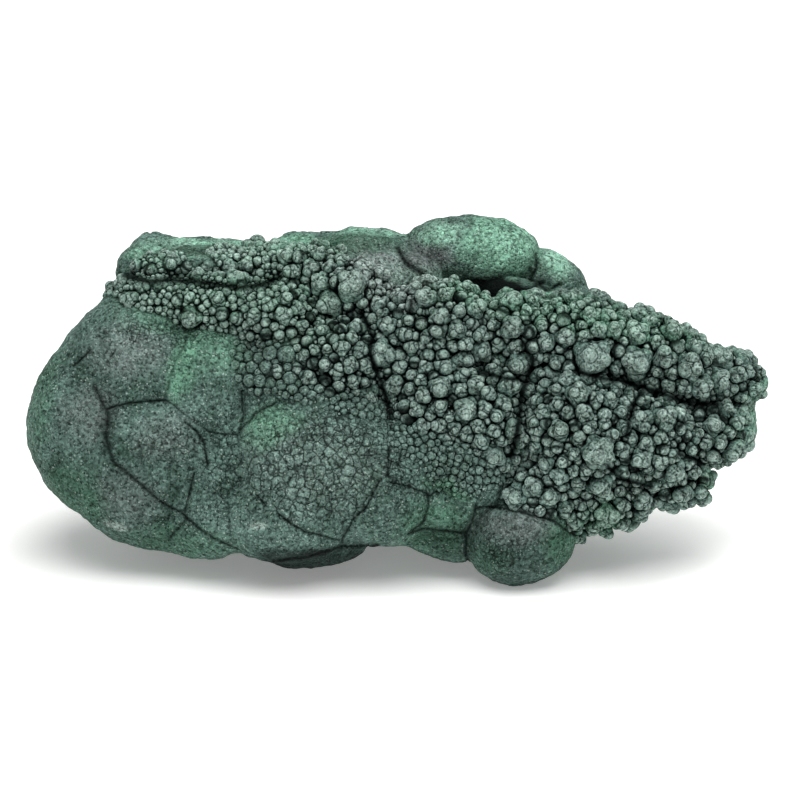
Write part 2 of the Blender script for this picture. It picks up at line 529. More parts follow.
def driftAt(points):
    # how far seams wander at a point, in mm
    moves = [mass["drift"] * noiseAt(points, 4.5, 30.0 * axis)
             + 0.35 * mass["drift"] * noiseAt(points, 1.6, 50.0 * axis) for axis in (1, 2, 3)]
    return np.column_stack(moves)


def fusedLobes():
    # every lobe as a closed ball, fused on a fine grid
    mesh = bmesh.new()
    bmesh.ops.create_icosphere(mesh, subdivisions=4, radius=1.0)
    ball = np.array([v.co[:] for v in mesh.verts])
    faces = np.array([[v.index for v in f.verts] for f in mesh.faces])
    mesh.free()
    power = face["lobePower"]
    flat = np.hypot(ball[:, 0], ball[:, 1])
    reach = (flat ** power + np.abs(ball[:, 2]) ** power) ** (-1 / power)
    places = []
    corners = []
    for index, (_, middle, radii, turn, _) in enumerate(lobes):
        u, v, w = (ball * reach[:, None] * radii).T
        turnCos = math.cos(math.radians(turn))
        turnSin = math.sin(math.radians(turn))
        turned = np.column_stack((u * turnCos - v * turnSin, u * turnSin + v * turnCos, w))
        places.append(toWorld(turned + middle))
        corners.append(faces[:, ::-1] + index * len(ball))
    joined = bpy.data.meshes.new("malachiteMass")
    joined.from_pydata(np.concatenate(places).tolist(), [], np.concatenate(corners).tolist())
    joined.update()
    piece = linkMesh("malachiteMass", joined)
    fuse = piece.modifiers.new("Fuse", "REMESH")
    fuse.mode = "VOXEL"
    fuse.voxel_size = mass["voxel"] * mm
    bakeModifiers(piece)
    return piece


def settleOnLobes(mesh):
    # moves each vertex onto the blended lobes, with cracks pressed in between them
    places = toFace(vertexArray(mesh))
    drift = driftAt(places)
    for step in range(3):
        level, outward, crack, fromCrack, beaded, ridged = blendedLobes(places + drift)
        level += sunkAt(places) * beaded
        if step == 2:
            worn = np.clip(0.65 + 0.7 * noiseAt(places, 8.0, 70.0), 0.2, 1.0)
            seam = mass["seamCracks"] * worn * crack * np.exp(
                -(fromCrack / mass["crackWidth"]) ** 2)
            level += mass["crackDepth"] * np.maximum(seam, crackAt(places)[0])
        places -= outward * np.clip(level, -1.6, 1.6)[:, None]
    relief = mass["swell"] * noiseAt(places, 5.0) + mass["pebble"] * noiseAt(places, 2.0)
    relief += mass["grain"] * noiseAt(places, 0.9)
    chips = np.array([noise.noise(noise.voronoi(p)[1][0] * 3.1)
                      for p in (places / 3.2 + 0.4 * drift).tolist()])
    relief += ridged * mass["ridgeChip"] * chips
    setVertices(mesh, toWorld(places + outward * relief[:, None]))


def brokenDepth(across, high):
    # how far the broken back stands from its mean plane, in mm: tilted chips on a slow swell
    place = Vector((across, high, 3.0))
    swell = noise.noise(place * 0.04) * 1.8
    warped = place + noise.noise_vector(place * 0.12) * 3.0
    centre = noise.voronoi(warped / mass["chipSize"])[1][0] * mass["chipSize"]
    tilt = noise.noise_vector(centre * 0.37 + Vector((5.0, 0.0, 0.0)))
    step = noise.noise(centre * 0.51) * 0.9
    chip = step + 0.16 * tilt.x * (across - centre.x) + 0.16 * tilt.y * (high - centre.y)
    grit = noise.noise(place * 0.9) * 0.10 + noise.noise(place * 0.45) * 0.16
    return mass["backRelief"] * (swell + chip + noise.noise(place * 0.22) * 0.25) + grit


def backCutter():
    # thick slab behind the mass whose front is the broken surface
    columns, rows = 260, 130
    width, height, thickness = 190.0, 95.0, 40.0
    flatDepth = mass["backDepth"] + face["depthShift"]
    mesh = bmesh.new()
    grid = []
    for row in range(rows + 1):
        high = height * row / rows - 8.0
        line = []
        for column in range(columns + 1):
            across = width * (column / columns - 0.5)
            line.append(mesh.verts.new(Vector((
                across, flatDepth + brokenDepth(across, high), high)) * mm))
        grid.append(line)
    for row in range(rows):
        for column in range(columns):
            mesh.faces.new((grid[row][column], grid[row][column + 1],
                            grid[row + 1][column + 1], grid[row + 1][column]))
    rim = [edge for edge in mesh.edges if edge.is_boundary]
    walls = bmesh.ops.extrude_edge_only(mesh, edges=rim)["geom"]
    for item in walls:
        if isinstance(item, bmesh.types.BMVert):
            item.co.y = (flatDepth + thickness) * mm
    rim = [item for item in walls if isinstance(item, bmesh.types.BMEdge) and item.is_boundary]
    bmesh.ops.contextual_create(mesh, geom=rim)
    bmesh.ops.recalc_face_normals(mesh, faces=mesh.faces[:])
    cutterMesh = bpy.data.meshes.new("backCutter")
    mesh.to_mesh(cutterMesh)
    mesh.free()
    return linkMesh("backCutter", cutterMesh)


def seatCutter():
    # block under the floor's level, which leaves the flat seat
    mesh = bmesh.new()
    bmesh.ops.create_cube(mesh, size=1.0)
    bmesh.ops.scale(mesh, vec=(0.2, 0.12, 0.02), verts=mesh.verts[:])
    bmesh.ops.translate(mesh, vec=(0, 0, -0.01), verts=mesh.verts[:])
    cutterMesh = bpy.data.meshes.new("seatCutter")
    mesh.to_mesh(cutterMesh)
    mesh.free()
    return linkMesh("seatCutter", cutterMesh)


def cutAway(piece, cutter, material):
    cutter.data.materials.append(material)
    boolean = piece.modifiers.new("Cut", "BOOLEAN")
    boolean.operation = "DIFFERENCE"
    boolean.solver = "MANIFOLD"
    boolean.material_mode = "TRANSFER"
    boolean.object = cutter
    bakeModifiers(piece)
    dropObject(cutter)


def keepLargestShell(mesh):
    # loose islands that the fusing left are deleted
    links = np.empty(len(mesh.edges) * 2, dtype=np.int32)
    mesh.edges.foreach_get("vertices", links)
    links = links.reshape(-1, 2)
    label = np.arange(len(mesh.vertices))
    while True:
        low = np.minimum(label[links[:, 0]], label[links[:, 1]])
        before = label.copy()
        np.minimum.at(label, links[:, 0], low)
        np.minimum.at(label, links[:, 1], low)
        label = label[label]
        if np.array_equal(before, label):
            break
    names, sizes = np.unique(label, return_counts=True)
    spare = np.flatnonzero(label != names[sizes.argmax()])
    if len(spare) == 0:
        return
    edited = bmesh.new()
    edited.from_mesh(mesh)
    edited.verts.ensure_lookup_table()
    bmesh.ops.delete(edited, geom=[edited.verts[i] for i in spare], context="VERTS")
    edited.to_mesh(mesh)
    edited.free()


def thinOut(piece):
    # fewer faces, mostly from under the beads and from the back
    places = toFace(vertexArray(piece.data))
    which, gaps, _ = nearestLobes(places, 1)
    smooth = np.array([lobe[4] != "beads" for lobe in lobes])
    shown = smooth[which[:, 0]] & (places[:, 2] < 27) & (gaps[:, 0] > -2)
    spare = piece.vertex_groups.new(name="spare")
    spare.add(np.flatnonzero(~shown).tolist(), 1.0, "REPLACE")
    spare.add(np.flatnonzero(shown).tolist(), 0.5, "REPLACE")
    thin = piece.modifiers.new("Thin", "DECIMATE")
    thin.ratio = min(1.0, mass["triangles"] / triangleCount(piece.data))
    thin.vertex_group = "spare"
    thin.vertex_group_factor = mass["keepShown"]
    bakeModifiers(piece)
    piece.vertex_groups.clear()


def makeMass(velvet, broken):
    piece = fusedLobes()
    settleOnLobes(piece.data)
    piece.data.materials.append(velvet)
    cutAway(piece, backCutter(), broken)
    cutAway(piece, seatCutter(), broken)
    keepLargestShell(piece.data)
    thinOut(piece)
    piece.data.shade_smooth()
    return piece


crust = {
    "seed": 11,
    "scatterTries": 4200,        # tries for clusters beyond the listed ones
    "scatterRadii": (1.8, 3.3),  # mm
    "spacing": 0.75,             # of the sum of two neighbours' radii
    "smallestHead": 1.2,         # mm, balls below this stay one bead
    "core": 0.84,                # of the head's radius
    "bulbRadii": (0.78, 1.22),   # of the mean radius below
    "bulbGrowth": (0.30, 0.42),  # mean bulb radius in mm: the first, plus this much of the head's
    "bulbSunk": 0.74,            # of the bulb's radius
    "bulbSpacing": 0.64,         # of the sum of two neighbours' radii
    "crease": 0.05,              # mm, softness of the crease between bulbs
    "plainShare": 0.60,          # of the small balls have no bulbs
    "smallBall": 1.8,            # mm, balls below this count as small
    "lumps": 0.45,               # of a bead's radius
}

# fields of single beads: across, up, half width, half height, bead radius in mm, and how far
# a bead's middle stands out of the ground, as a share of its radius
beadFields = [
    (-46.0, 22.0, 20.0, 11.0, 0.66, 0.05),
    (-24.0, 20.0, 16.0, 13.0, 0.95, 0.15),
    (-13.0, 6.5, 16.0, 10.0, 1.45, 0.15),
    (8.0, 16.0, 20.0, 11.0, 1.20, 0.25),
    (12.0, 0.0, 19.0, 11.0, 1.45, 0.25),
    (36.0, 8.0, 22.0, 14.0, 1.50, 0.25),
    (44.0, -10.0, 24.0, 13.0, 1.55, 0.25),
    (64.0, -2.0, 18.0, 14.0, 1.50, 0.25),
    (34.0, -22.0, 13.0, 7.0, 1.05, 0.25),
]

# the small ones that fill the gaps
gapFields = [(across, up, halfWidth, halfHeight, 0.38 * radius + 0.15, 0.05)
             for across, up, halfWidth, halfHeight, radius, _ in beadFields]

# patches of single beads on the smooth lobes, in the same terms
patchFields = [
    (-21.5, 9.5, 7.0, 6.0, 1.60, -0.10),
    (-30.0, 8.5, 5.0, 6.0, 1.10, -0.15),
    (-18.0, 3.5, 9.0, 3.5, 0.95, -0.20),
    (-4.0, -1.0, 9.0, 3.0, 0.80, -0.20),
    (7.0, -8.0, 8.0, 4.5, 0.75, -0.20),
    (15.0, -12.0, 9.0, 7.0, 0.72, -0.25),
    (34.0, 19.0, 12.0, 3.0, 0.62, -0.10),
]


# long dark gaps that part the crust: half width in mm, then the points (across, up)
crustGaps = [
    (0.7, ((-59.1, 26.9), (-53.7, 25.3), (-49.4, 25.8), (-41.9, 25.1), (-34.4, 24.1), (-29.6, 24.7),
           (-25.8, 26.4))),
    (0.7, ((26.2, 12.2), (28.4, 8.2), (26.2, 1.7), (24.9, -7.3), (23.8, -11.6))),
    (0.6, ((37.4, 6.2), (43.0, 4.7), (47.7, 4.1), (55.0, 1.7), (60.8, -0.4), (68.1, -0.9))),
    (0.5, ((44.2, -14.0), (47.3, -16.8), (53.7, -18.5))),
    (0.55, ((-1.9, -5.2), (-2.4, -1.9), (-3.4, 1.9), (-6.4, 10.1), (-6.0, 14.2), (-8.6, 18.9))),
    (0.5, ((16.8, 6.7), (20.8, 4.9), (25.8, 4.3))),
    (0.5, ((59.5, -9.0), (59.5, -11.6), (64.0, -13.1))),
    (0.5, ((48.1, -7.7), (49.6, -0.9), (51.6, 1.7))),
]


def frontDepth(places):
    # depth of the foremost lobe surface at places (across, up) on the face
    power = face["lobePower"]
    flat = np.column_stack((places, np.zeros(len(places))))
    nearest = np.full(len(places), 1e9)
    for lobe in lobes:
        u, v, _ = inLobe(flat, lobe)
        rest = np.clip(1 - (u * u + v * v) ** (power / 2), 0, 1)
        depth = lobe[1][2] - lobe[2][2] * rest ** (1 / power)
        nearest = np.where(rest > 0, np.minimum(nearest, depth), nearest)
    return nearest


def lobePoint(direction, lobe, grow):
    # face point where a direction from the lobe's middle meets its surface
    _, middle, radii, turn, _ = lobe
    power = face["lobePower"]
    flat = math.hypot(direction[0], direction[1])
    reach = (flat ** power + abs(direction[2]) ** power) ** (-1 / power)
    u, v, w = (reach * d * (r + grow) for d, r in zip(direction, radii))
    turnCos = math.cos(math.radians(turn))
    turnSin = math.sin(math.radians(turn))
    return (middle[0] + u * turnCos - v * turnSin, middle[1] + u * turnSin + v * turnCos,
            middle[2] + w)


def buriedIn(points, owners, level):
    # which points lie inside a lobe other than their own
    points = np.array(points)
    owners = np.array(owners)
    power = face["lobePower"]
    buried = np.zeros(len(points), dtype=bool)
    for index, lobe in enumerate(lobes):
        u, v, w = inLobe(points, lobe)
        inside = (u * u + v * v) ** (power / 2) + np.abs(w) ** power < level
        buried |= inside & (owners != index)
    return buried


def clusterSpots():
    # bead clusters as (face point, radius): the listed ones, then a seeded scatter
    depths = frontDepth(np.array(clusters)[:, :2])
    placed = [((across, up, depth + 0.15 * radius), radius)
              for (across, up, radius), depth in zip(clusters, depths)]
    rng = random.Random(crust["seed"])
    beaded = [index for index, lobe in enumerate(lobes) if lobe[4] == "beads"]
    areas = [lobes[index][2][0] * lobes[index][2][1] for index in beaded]
    low, high = crust["scatterRadii"]
    tries = []
    for _ in range(crust["scatterTries"]):
        index = rng.choices(beaded, areas)[0]
        direction = Vector((rng.gauss(0, 1), rng.gauss(0, 1), rng.gauss(0, 1))).normalized()
        radius = low + (high - low) * rng.random() ** 1.6
        tries.append((lobePoint(direction, lobes[index], -0.2 * radius), radius, index))
    buried = buriedIn([point for point, _, _ in tries], [index for _, _, index in tries], 0.93)
    for (point, radius, _), hidden in zip(tries, buried):
        crowded = hidden or any(
            math.dist(point, place) < crust["spacing"] * (radius + size) for place, size in placed)
        if not crowded:
            placed.append((point, radius))
    return placed


def surfaceTries(surface, count, rng):
    # random points spread over the free surface of the smooth or the beaded lobes
    chosen = [index for index, lobe in enumerate(lobes) if lobe[4] == surface]
    areas = []
    for index in chosen:
        a, b, c = lobes[index][2]
        areas.append(a * b + b * c + a * c)
    points = []
    owners = []
    for index, area in zip(chosen, areas):
        number = int(count * area / sum(areas))
        radii = np.array(lobes[index][2])
        directions = rng.normal(size=(number, 3))
        directions /= np.linalg.norm(directions, axis=1)[:, None]
        # a long lobe gathers tries at its flat middle, so the tries are thinned by its stretch
        stretch = np.linalg.norm(directions / radii, axis=1)
        for direction in directions[rng.random(number) < stretch / stretch.max()]:
            points.append(lobePoint(direction, lobes[index], 0.0))
            owners.append(index)
    free = ~buriedIn(points, owners, 1.0)
    return np.array(points)[free]


def frontTries(surface, fields, perArea, rng):
    # random points on the front of one kind of lobe, within the fields
    spots = []
    for across, up, halfWidth, halfHeight, _, _ in fields:
        count = int(perArea * math.pi * halfWidth * halfHeight * 1.4)
        reach = 1.2 * np.sqrt(rng.random(count))
        turn = rng.uniform(0, math.tau, count)
        spots.append(np.column_stack((across + halfWidth * reach * np.cos(turn),
                                      up + halfHeight * reach * np.sin(turn))))
    spots = np.concatenate(spots)
    points = np.column_stack((spots, frontDepth(spots)))
    points = points[points[:, 2] < 1e6]
    which, _, _ = nearestLobes(points, 1)
    kinds = np.array([lobe[4] for lobe in lobes])
    return points[kinds[which[:, 0]] == surface]


def fieldAt(points, fields):
    # bead radius, stand-off and strength of a list of fields at face points
    radius = np.zeros(len(points))
    stand = np.zeros(len(points))
    total = np.zeros(len(points))
    for across, up, halfWidth, halfHeight, size, out in fields:
        off = np.hypot((points[:, 0] - across) / halfWidth, (points[:, 1] - up) / halfHeight)
        here = np.clip((1.2 - off) / 0.4, 0, 1)
        radius += here * size
        stand += here * out
        total += here
    shared = np.maximum(total, 1e-6)
    return radius / shared, stand / shared, np.minimum(total, 1)


def clearOf(points, radii, balls, share):
    # which points keep their distance from the balls that are already there
    free = np.ones(len(points), dtype=bool)
    for place, radius in balls:
        gap = np.linalg.norm(points - np.array(place), axis=1)
        free &= gap > share * (radii + radius)
    return free


def spreadOut(points, radii, share):
    # indices of points of which none crowds one kept before it
    cell = 2 * share * radii.max()
    grid = {}
    kept = []
    around = [(dx, dy, dz) for dx in (-1, 0, 1) for dy in (-1, 0, 1) for dz in (-1, 0, 1)]
    homes = np.floor(points / cell).astype(int).tolist()
    for index, (point, radius, home) in enumerate(zip(points.tolist(), radii.tolist(), homes)):
        crowded = False
        for dx, dy, dz in around:
            for place, size in grid.get((home[0] + dx, home[1] + dy, home[2] + dz), ()):
                if math.dist(point, place) < share * (radius + size):
                    crowded = True
                    break
            if crowded:
                break
        if not crowded:
            kept.append(index)
            grid.setdefault(tuple(home), []).append((point, radius))
    return kept


def layBalls(tries, fields, share, balls, spacing, rng, ground):
    # balls over the fields that keep clear of the ones already there and of each other
    radii, stand, strength = fieldAt(tries, fields)
    radii = radii * rng.uniform(0.62, 1.38, len(radii)) * (0.6 + 0.4 * strength)
    here = rng.random(len(tries)) < strength * 1.5
    tries, radii, stand = tries[here], radii[here], stand[here]
    order = np.argsort(-radii)
    tries, radii, stand = tries[order], radii[order], stand[order]
    found = [ground.find_nearest(place) for place in toWorld(tries).tolist()]
    tries = toFace(np.array([place for place, _, _, _ in found]))
    normals = np.array([normal for _, normal, _, _ in found])
    outward = toFace(normals * mm) - toFace(np.zeros((1, 3)))
    tries = tries + outward * (stand * radii)[:, None]
    free = clearOf(tries, radii, balls, share)
    tries, radii, outward = tries[free], radii[free], outward[free]
    kept = spreadOut(tries, radii, spacing)
    return np.column_stack((tries[kept], radii[kept], outward[kept]))


def bulbsOf(radius, outward, rng):
    # middles and radii of the bulbs that crowd over the free side of one head
    start, growth = crust["bulbGrowth"]
    low, high = crust["bulbRadii"]
    if rng.random() < crust["plainShare"] and radius < crust["smallBall"]:
        return [(Vector(rng.normal(size=3)).normalized() * 0.18 * radius, share * radius)
                for share in (0.92, 0.84)]
    bulbs = []
    for _ in range(220):
        direction = Vector(rng.normal(size=3)).normalized()
        size = (start + growth * radius) * rng.uniform(low, high)
        if direction.dot(outward) < -0.3 or size > 0.8 * radius:
            continue
        middle = direction * (radius - crust["bulbSunk"] * size)
        if all((middle - other).length > crust["bulbSpacing"] * (size + otherSize)
               for other, otherSize in bulbs):
            bulbs.append((middle, size))
    return bulbs


def bulge(piece, heads, perHead, rng):
    # pushes each ball out to the bulbs of its head; returns how near each point is to a crease
    places = toFace(vertexArray(piece.data))
    creases = np.ones(len(places))
    for index, (x, y, z, radius, *outward) in enumerate(heads.tolist()):
        own = slice(index * perHead, (index + 1) * perHead)
        away = places[own] - (x, y, z)
        away /= np.linalg.norm(away, axis=1)[:, None]
        bulbs = bulbsOf(radius, Vector(outward), rng)
        middles = np.array([middle for middle, _ in bulbs])
        sizes = np.array([size for _, size in bulbs])
        along = away @ middles.T
        root = sizes ** 2 - (middles ** 2).sum(axis=1) + along ** 2
        reach = np.where(root > 0, along + np.sqrt(np.maximum(root, 0)), 0.0)
        reach = np.column_stack((reach, np.full(len(away), crust["core"] * radius)))
        ordered = np.sort(reach, axis=1)
        soft = crust["crease"]
        top = ordered[:, -1] + soft * np.log(np.exp(
            (reach - ordered[:, -1:]) / soft).sum(axis=1))
        places[own] = away * top[:, None] + (x, y, z)
        creases[own] = ordered[:, -1] - ordered[:, -2]
    setVertices(piece.data, toWorld(places))
    return creases


def insideBlock(balls):
    # balls that end before the broken back, the floor and the bare strip of the right end
    world = toWorld(balls[:, :3]) / mm
    flatDepth = mass["backDepth"] + face["depthShift"]
    back = np.array([flatDepth + brokenDepth(x, z) for x, _, z in world.tolist()])
    inFront = world[:, 1] + 0.3 * balls[:, 3] < back
    above = world[:, 2] > 1.05 * balls[:, 3]
    stripEdge = 73.4 + 0.61 * (balls[:, 1] + 4.1)
    strip = (balls[:, 0] > stripEdge) & (np.abs(balls[:, 1]) < 6.0)
    return balls[inFront & above & ~strip]


def fromGaps(points):
    # distance of face points from the nearest listed gap, in its own half widths
    nearest = np.full(len(points), 99.0)
    for halfWidth, route in crustGaps:
        nearest = np.minimum(nearest, fromRoute(points[:, :2], route) / halfWidth)
    return np.where(points[:, 2] < 30.0, nearest, 99.0)


def crustBalls(ground):
    # every ball of the crust: rows of face x, y, z, radius and the outward direction
    rng = np.random.default_rng(crust["seed"])
    spots = clusterSpots()
    _, _, outs = nearestLobes(np.array([place for place, _ in spots]), 1)
    listed = np.array([(*place, radius, *out) for (place, radius), out in zip(spots, outs[:, 0])])
    tries = np.concatenate((frontTries("beads", beadFields, 6, rng),
                            surfaceTries("beads", 40000, rng)))
    beads = layBalls(tries, beadFields, 0.76, spots, 0.73, rng, ground)
    grown = np.concatenate((listed, beads))
    grown = grown[fromGaps(grown) > 0.2 + 0.42 * grown[:, 3]]
    taken = [(row[:3], row[3]) for row in grown]
    fillers = layBalls(tries, gapFields, 0.82, taken, 0.78, rng, ground)
    tries = frontTries("smooth", patchFields, 22, rng)
    grains = layBalls(tries, patchFields, 0.80, taken, 0.76, rng, ground)
    return insideBlock(grown), insideBlock(fillers), insideBlock(grains)


def ballShape(name, sides, angles):
    # closed ball of few faces: a ring at each angle from its top, and a pole at either end
    places = [(0.0, 0.0, 1.0)]
    for angle in angles:
        reach = math.sin(math.radians(angle))
        height = math.cos(math.radians(angle))
        for side in range(sides):
            turn = math.tau * side / sides
            places.append((reach * math.cos(turn), reach * math.sin(turn), height))
    places.append((0.0, 0.0, -1.0))
    last = len(places) - 1
    faces = []
    for side in range(sides):
        after = (side + 1) % sides
        faces.append((0, 1 + side, 1 + after))
        for ring in range(len(angles) - 1):
            low = 1 + ring * sides
            high = low + sides
            faces.append((low + side, high + side, high + after, low + after))
        low = 1 + (len(angles) - 1) * sides
        faces.append((low + side, last, low + after))
    mesh = bpy.data.meshes.new(name)
    mesh.from_pydata(places, [], faces)
    mesh.update()
    return linkMesh(name, mesh)


def beadTree():
    # puts a lumpy ball on every spot, pole outwards, and makes them one mesh
    tree = bpy.data.node_groups.new("beadCrust", "GeometryNodeTree")
    sockets = [("Spots", "Geometry"), ("Ball", "Object"), ("Lumps", "Float"),
               ("Lump Width", "Float"), ("Seed", "Int"), ("Material", "Material")]
    for name, kind in sockets:
        tree.interface.new_socket(name, in_out="INPUT", socket_type="NodeSocket" + kind)
    tree.interface.new_socket("Beads", in_out="OUTPUT", socket_type="NodeSocketGeometry")
    given = addNode(tree, "NodeGroupInput").outputs
    ball = addNode(tree, "GeometryNodeObjectInfo", {}, {"Object": given["Ball"]})
    radius = addNode(tree, "GeometryNodeInputNamedAttribute", {"data_type": "FLOAT"},
                     {"Name": "radius"}).outputs["Attribute"]
    outward = addNode(tree, "GeometryNodeInputNamedAttribute", {"data_type": "FLOAT_VECTOR"},
                      {"Name": "outward"}).outputs["Attribute"]
    upright = addNode(tree, "FunctionNodeAlignRotationToVector", {"axis": "Z"},
                      {"Vector": outward})
    spin = addNode(tree, "FunctionNodeRandomValue", {"data_type": "FLOAT"},
                   {2: 0.0, 3: math.tau, "Seed": given["Seed"]}).outputs[1]
    about = addNode(tree, "FunctionNodeAxisAngleToRotation", {},
                    {"Axis": (0.0, 0.0, 1.0), "Angle": spin})
    turned = addNode(tree, "FunctionNodeRotateRotation", {"rotation_space": "LOCAL"},
                     {"Rotation": upright.outputs[0], "Rotate By": about.outputs[0]})
    placed = addNode(tree, "GeometryNodeInstanceOnPoints", {}, {
        "Points": given["Spots"], "Instance": ball.outputs["Geometry"],
        "Rotation": turned.outputs[0], "Scale": radius})
    beads = addNode(tree, "GeometryNodeRealizeInstances", {}, {"Geometry": placed.outputs[0]})
    position = addNode(tree, "GeometryNodeInputPosition").outputs[0]
    perLump = addNode(tree, "ShaderNodeMath", {"operation": "DIVIDE"},
                      {0: 1.0, 1: given["Lump Width"]}).outputs[0]
    lumps = addNode(tree, "ShaderNodeTexNoise", {}, {
        "Vector": position, "Scale": perLump, "Detail": 1.0}).outputs["Color"]
    centred = addNode(tree, "ShaderNodeVectorMath", {"operation": "SUBTRACT"},
                      {0: lumps, 1: (0.5, 0.5, 0.5)}).outputs[0]
    height = addNode(tree, "ShaderNodeMath", {"operation": "MULTIPLY"},
                     {0: radius, 1: given["Lumps"]}).outputs[0]
    shift = addNode(tree, "ShaderNodeVectorMath", {"operation": "SCALE"},
                    {0: centred, "Scale": height}).outputs[0]
    moved = addNode(tree, "GeometryNodeSetPosition", {}, {
        "Geometry": beads.outputs[0], "Offset": shift})
    soft = addNode(tree, "GeometryNodeSetShadeSmooth", {}, {"Geometry": moved.outputs[0]})
    done = addNode(tree, "GeometryNodeSetMaterial", {}, {
        "Geometry": soft.outputs[0], "Material": given["Material"]})
    addNode(tree, "NodeGroupOutput", {}, {"Beads": done.outputs[0]})
    return tree


def growBeads(name, balls, shape, lumps, tree, material):
    # one piece of the crust, grown on its spots
    mesh = bpy.data.meshes.new(name)
    mesh.from_pydata(toWorld(balls[:, :3]).tolist(), [], [])
    mesh.attributes.new("radius", "FLOAT", "POINT").data.foreach_set(
        "value", (balls[:, 3] * mm).astype(np.float32))
    mesh.attributes.new("outward", "FLOAT_VECTOR", "POINT").data.foreach_set(
        "vector", turnToWorld(balls[:, 4:7]).astype(np.float32).ravel())
    piece = linkMesh(name, mesh)
    grow = piece.modifiers.new("Grow", "NODES")
    grow.node_group = tree
    inputs = {item.name: item.identifier for item in tree.interface.items_tree
              if item.in_out == "INPUT"}
    grow[inputs["Ball"]] = shape
    grow[inputs["Lumps"]] = lumps
    grow[inputs["Lump Width"]] = float(balls[:, 3].mean()) * mm
    grow[inputs["Seed"]] = crust["seed"]
    grow[inputs["Material"]] = material
    bakeModifiers(piece)
    return piece


def roomAround(places, owners, balls):
    # mm from each point to the nearest ball other than its own; below 0 inside it
    tree = KDTree(len(balls))
    for index, ball in enumerate(balls):
        tree.insert(ball[:3], index)
    tree.balance()
    widest = balls[:, 3].max()
    room = np.full(len(places), 9.0)
    starts = np.flatnonzero(np.diff(owners, prepend=-1))
    ends = np.append(starts[1:], len(owners))
    for start, end in zip(starts, ends):
        own = owners[start]
        centre, radius = balls[own, :3], balls[own, 3]
        near = [index for _, index, gap in tree.find_range(centre, radius + widest + 0.6)
                if index != own and gap < radius + balls[index, 3] + 0.6]
        if near:
            gaps = np.linalg.norm(places[start:end, None] - balls[near, :3], axis=2)
            room[start:end] = (gaps - balls[near, 3]).min(axis=1)
    return room


def roomAtGround(places, balls):
    # the same for points of the mass, which own no ball
    tree = KDTree(len(balls))
    for index, ball in enumerate(balls):
        tree.insert(ball[:3], index)
    tree.balance()
    room = np.full(len(places), 9.0)
    for index, place in enumerate(places.tolist()):
        for _, near, gap in tree.find_n(place, 3):
            room[index] = min(room[index], gap - balls[near, 3])
    return room


